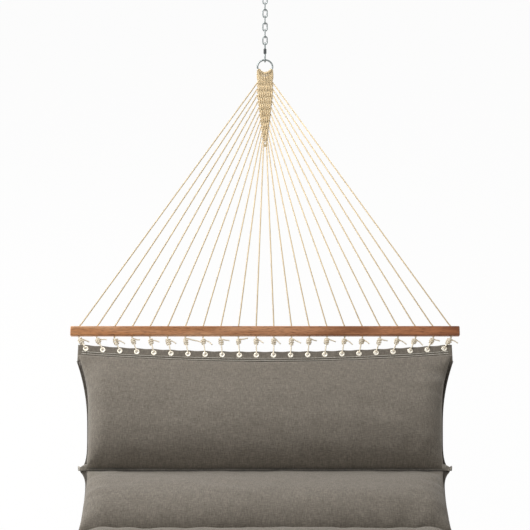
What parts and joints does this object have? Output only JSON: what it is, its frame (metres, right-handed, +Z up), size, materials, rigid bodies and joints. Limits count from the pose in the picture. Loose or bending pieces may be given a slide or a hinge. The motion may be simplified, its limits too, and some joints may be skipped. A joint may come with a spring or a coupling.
{
  "type": "hanging quilted hammock with spreader bars",
  "caption": "Padded outdoor hammock with oak spreader bars, fanned cord harnesses, woven clews, steel rings, quick links and chains, hung from two screw hooks.",
  "frame": {"origin": "centre of the far hook's collar, on the face that meets the post or wall", "axes": "+X across the bed, +Y along it towards the far hook's screw, +Z up"},
  "size_m": [1.397, 4.1294, 1.4134],
  "materials": {
    "zinc_steel": "zinc plated, satin",
    "dark_steel": "dark plated",
    "cream_cord": "spun polyester rope, matt",
    "oiled_oak": "oiled and varnished oak, satin",
    "brass": "rolled eyelet, satin",
    "grey_canvas": "heathered woven outdoor canvas",
    "grey_binding": "woven binding tape"
  },
  "bodies": {
    "anchors": {"far_screw_hook": "zinc_steel", "near_screw_hook": "zinc_steel"},
    "far_chain": {"far_chain_link_1": "zinc_steel", "far_chain_link_2": "zinc_steel", "far_chain_link_3": "zinc_steel", "far_chain_link_4": "zinc_steel", "far_chain_link_5": "zinc_steel", "far_chain_link_6": "zinc_steel", "far_chain_link_7": "zinc_steel", "far_chain_link_8": "zinc_steel", "far_chain_link_9": "zinc_steel", "far_quick_link": "zinc_steel"},
    "near_chain": {"near_chain_link_1": "zinc_steel", "near_chain_link_2": "zinc_steel", "near_chain_link_3": "zinc_steel", "near_chain_link_4": "zinc_steel", "near_chain_link_5": "zinc_steel", "near_chain_link_6": "zinc_steel", "near_chain_link_7": "zinc_steel", "near_chain_link_8": "zinc_steel", "near_chain_link_9": "zinc_steel", "near_quick_link": "zinc_steel"},
    "far_nut": {"far_sleeve_nut": "dark_steel"},
    "near_nut": {"near_sleeve_nut": "dark_steel"},
    "hammock": {"far_ring": "zinc_steel", "far_ring_lashing": "cream_cord", "far_clew": "cream_cord", "far_harness_cords": "cream_cord", "far_spreader_bar": "oiled_oak", "far_ties": "cream_cord", "far_grommets": "brass", "far_hem_band": "grey_canvas", "near_ring": "zinc_steel", "near_ring_lashing": "cream_cord", "near_clew": "cream_cord", "near_harness_cords": "cream_cord", "near_spreader_bar": "oiled_oak", "near_ties": "cream_cord", "near_grommets": "brass", "near_hem_band": "grey_canvas", "base_sheet": "grey_canvas", "left_binding": "grey_binding", "right_binding": "grey_binding", "pad_1": "grey_canvas", "pad_2": "grey_canvas", "pad_3": "grey_canvas", "pad_4": "grey_canvas", "pad_5": "grey_canvas", "seam_welt_1": "grey_binding", "seam_welt_2": "grey_binding", "seam_welt_3": "grey_binding", "seam_welt_4": "grey_binding"}
  },
  "joints": [
    {"name": "far_chain_swing", "type": "hinge", "parent": "anchors", "child": "far_chain", "pos_m": [0, -0.04968, -0.02057], "axis": [0, 1, 0], "range_deg": [-25, 25]},
    {"name": "near_chain_swing", "type": "hinge", "parent": "anchors", "child": "near_chain", "pos_m": [0, -3.96775, -0.02057], "axis": [0, 1, 0], "range_deg": [-25, 25]},
    {"name": "hammock_roll", "type": "hinge", "parent": "far_chain", "child": "hammock", "pos_m": [0, -0.27491, -0.27966], "axis": [0, 1, 0], "range_deg": [-20, 20]},
    {"name": "far_nut_travel", "type": "slide", "parent": "far_chain", "child": "far_nut", "axis": [0, 0.6561, 0.7547], "range_m": [0, 0.012]},
    {"name": "near_nut_travel", "type": "slide", "parent": "near_chain", "child": "near_nut", "axis": [0, -0.6561, 0.7547], "range_m": [0, 0.012]}
  ],
  "couplings": [
    {"joint": "near_chain_swing", "follows": "far_chain_swing", "ratio": 1}
  ]
}
